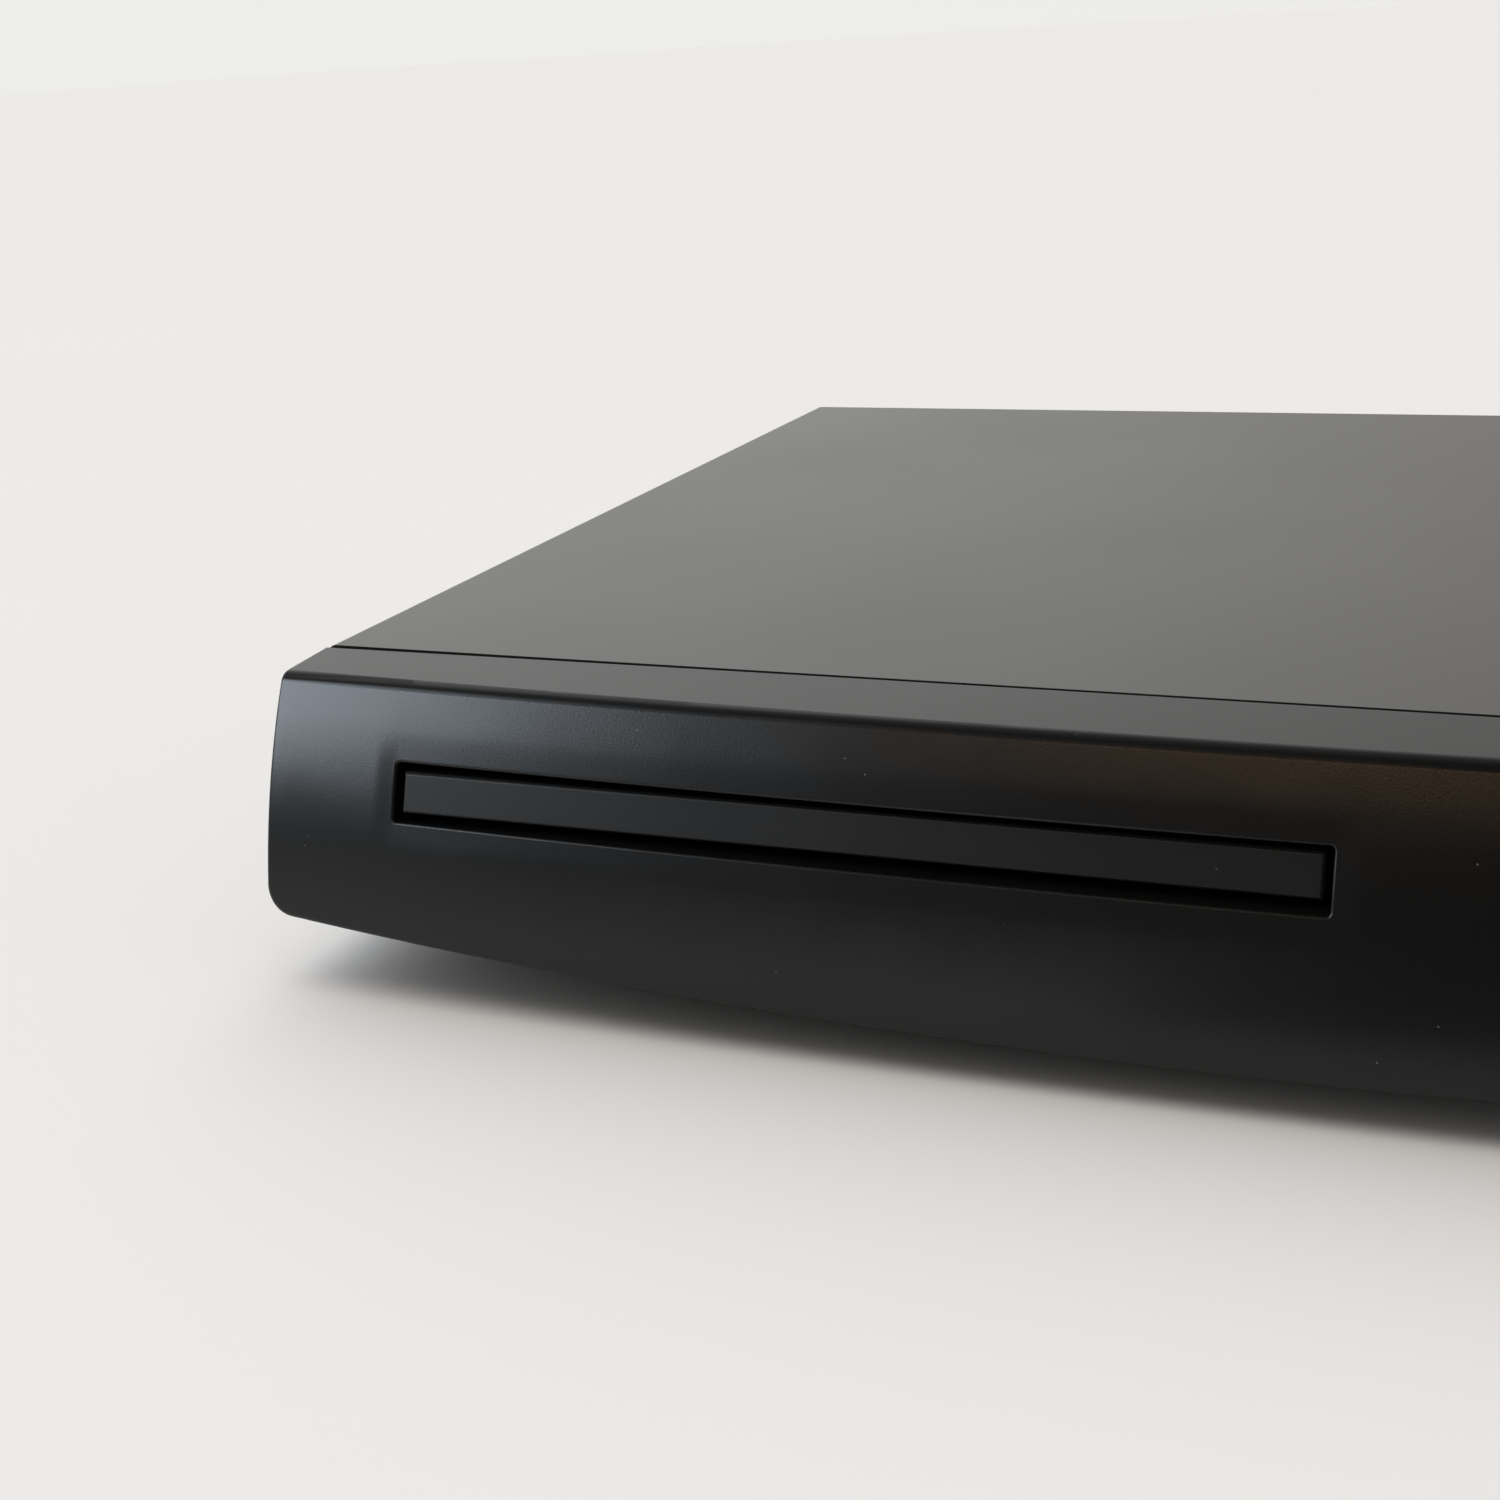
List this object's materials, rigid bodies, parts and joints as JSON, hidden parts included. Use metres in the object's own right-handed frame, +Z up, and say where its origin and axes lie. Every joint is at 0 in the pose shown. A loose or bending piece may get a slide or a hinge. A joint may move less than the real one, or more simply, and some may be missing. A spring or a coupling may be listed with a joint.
{
  "type": "dvd player",
  "caption": "Slim disc player with a bowed black front, a motor-driven sliding disc tray, a tilting pickup deck with turntable and sled, sprung buttons, rear jacks and rubber feet.",
  "frame": {"origin": "on the table, under the middle of the player's box", "axes": "+X to the right seen from the front, +Y to the back, +Z up"},
  "size_m": [0.2732, 0.2401, 0.046],
  "materials": {
    "black_steel": "satin black paint",
    "panel_plastic": "fine matt moulding",
    "door_plastic": "fine matt moulding",
    "button_plastic": "satin",
    "black_plastic": "moulded",
    "tray_plastic": "fine matt moulding",
    "dark_window": "dark red, clear to infrared",
    "lamp_lens": "clear red",
    "zinc_steel": "zinc plated",
    "bright_metal": "nickel plated",
    "dark_screw": "black zinc",
    "aluminium": "cast or extruded",
    "brass": "bright",
    "rubber": "matt",
    "green_board": "solder mask",
    "tan_board": "phenolic paper",
    "chip_plastic": "moulded",
    "white_plastic": "natural",
    "red_plastic": "moulded",
    "yellow_plastic": "moulded",
    "lens_glass": "coated"
  },
  "bodies": {
    "cabinet": {"front_panel": "panel_plastic", "ir_window": "dark_window", "standby_lamp": "lamp_lens", "front_board": "green_board", "tact_switches": "black_plastic", "ir_receiver": "black_plastic", "top_cover": "black_steel", "bottom_chassis": "zinc_steel", "feet": "black_plastic", "foot_pads": "rubber", "rear_panel": "zinc_steel", "loader_chassis": "black_plastic", "clamp_bridge": "zinc_steel", "tray_motor": "zinc_steel", "drive_belt": "rubber", "main_board": "green_board", "power_board": "tan_board", "main_chips": "chip_plastic", "connectors": "white_plastic", "ribbon_cable": "white_plastic", "power_wires": "red_plastic", "transformer": "yellow_plastic", "capacitors": "chip_plastic", "heat_sink": "aluminium", "mains_parts": "yellow_plastic", "mains_inlet": "black_plastic", "inlet_prongs": "brass", "jack_block": "black_plastic", "jack_shells": "bright_metal", "jack_yellow": "yellow_plastic", "jack_white": "white_plastic", "jack_red": "red_plastic", "cover_screws": "dark_screw", "inside_screws": "bright_metal"},
    "tray": {"disc_tray": "tray_plastic", "tray_door": "door_plastic"},
    "tray_gear": {"tray_gear": "white_plastic"},
    "pulley_gear": {"pulley_gear": "white_plastic"},
    "motor_pulley": {"motor_pulley": "white_plastic"},
    "cam_slider": {"cam_slider": "white_plastic"},
    "lift": {"lift_frame": "black_plastic", "traverse_deck": "zinc_steel", "rubber_dampers": "rubber", "damper_screws": "bright_metal", "spindle_motor": "zinc_steel", "guide_rods": "bright_metal", "sled_motor": "zinc_steel"},
    "turntable": {"turntable": "black_plastic", "turntable_mat": "rubber"},
    "clamp": {"disc_clamp": "tray_plastic", "clamp_cap": "zinc_steel"},
    "pickup": {"pickup_sled": "aluminium", "lens_cover": "black_plastic", "objective_lens": "lens_glass"},
    "sled_gear": {"sled_gear": "white_plastic"},
    "sled_pinion": {"sled_pinion": "brass"},
    "power_button": {"button_power": "button_plastic"},
    "open_close_button": {"button_open_close": "button_plastic"},
    "play_pause_button": {"button_play_pause": "button_plastic"},
    "stop_button": {"button_stop": "button_plastic"}
  },
  "joints": [
    {"name": "tray_slide", "type": "slide", "parent": "cabinet", "child": "tray", "axis": [0, -1, 0], "range_m": [0, 0.138]},
    {"name": "tray_gear_spin", "type": "hinge", "parent": "cabinet", "child": "tray_gear", "pos_m": [0.00175, -0.0826, 0.025], "axis": [0, 0, 1], "range_deg": [-905, 0]},
    {"name": "pulley_gear_spin", "type": "hinge", "parent": "cabinet", "child": "pulley_gear", "pos_m": [-0.01775, -0.0826, 0.025], "axis": [0, 0, 1], "range_deg": [0, 3014]},
    {"name": "motor_pulley_spin", "type": "hinge", "parent": "cabinet", "child": "motor_pulley", "pos_m": [-0.04575, -0.0826, 0.027], "axis": [0, 0, 1], "range_deg": [0, 9275]},
    {"name": "cam_slide", "type": "slide", "parent": "cabinet", "child": "cam_slider", "axis": [1, 0, 0], "range_m": [0, 0.014]},
    {"name": "lift_tilt", "type": "hinge", "parent": "cabinet", "child": "lift", "pos_m": [-0.0457, 0.0589, 0.022], "axis": [-1, 0, 0], "range_deg": [0, 3.2]},
    {"name": "turntable_spin", "type": "hinge", "parent": "lift", "child": "turntable", "pos_m": [-0.0457, -0.04339, 0.02438], "axis": [0, -0.055, 0.9985], "continuous": true},
    {"name": "clamp_spin", "type": "hinge", "parent": "cabinet", "child": "clamp", "pos_m": [-0.0457, -0.0431, 0.036], "axis": [0, 0, 1], "continuous": true},
    {"name": "sled_slide", "type": "slide", "parent": "lift", "child": "pickup", "axis": [0, 0.9985, 0.055], "range_m": [0, 0.035]},
    {"name": "sled_gear_spin", "type": "hinge", "parent": "lift", "child": "sled_gear", "pos_m": [-0.0161, 0.00171, 0.02386], "axis": [0, -0.055, 0.9985], "range_deg": [-560, 0]},
    {"name": "sled_pinion_spin", "type": "hinge", "parent": "lift", "child": "sled_pinion", "pos_m": [-0.00889, 0.00891, 0.02426], "axis": [0, -0.055, 0.9985], "range_deg": [0, 1340]},
    {"name": "power_press", "type": "slide", "parent": "cabinet", "child": "power_button", "axis": [0, 1, 0], "range_m": [0, 0.0005], "stiffness_N_per_m": 1200, "springref_m": -0.0002},
    {"name": "open_close_press", "type": "slide", "parent": "cabinet", "child": "open_close_button", "axis": [0, 1, 0], "range_m": [0, 0.0005], "stiffness_N_per_m": 1200, "springref_m": -0.0002},
    {"name": "play_pause_press", "type": "slide", "parent": "cabinet", "child": "play_pause_button", "axis": [0, 1, 0], "range_m": [0, 0.0005], "stiffness_N_per_m": 1200, "springref_m": -0.0002},
    {"name": "stop_press", "type": "slide", "parent": "cabinet", "child": "stop_button", "axis": [0, 1, 0], "range_m": [0, 0.0005], "stiffness_N_per_m": 1200, "springref_m": -0.0002}
  ],
  "couplings": [
    {"joint": "tray_gear_spin", "follows": "tray_slide", "rad_per_m": -114.29},
    {"joint": "pulley_gear_spin", "follows": "tray_slide", "rad_per_m": 380.95},
    {"joint": "motor_pulley_spin", "follows": "tray_slide", "rad_per_m": 1172.2},
    {"joint": "lift_tilt", "follows": "cam_slide", "rad_per_m": 3.9283},
    {"joint": "clamp_spin", "follows": "turntable_spin", "ratio": 1},
    {"joint": "sled_gear_spin", "follows": "sled_slide", "rad_per_m": -277.78},
    {"joint": "sled_pinion_spin", "follows": "sled_slide", "rad_per_m": 666.67}
  ]
}
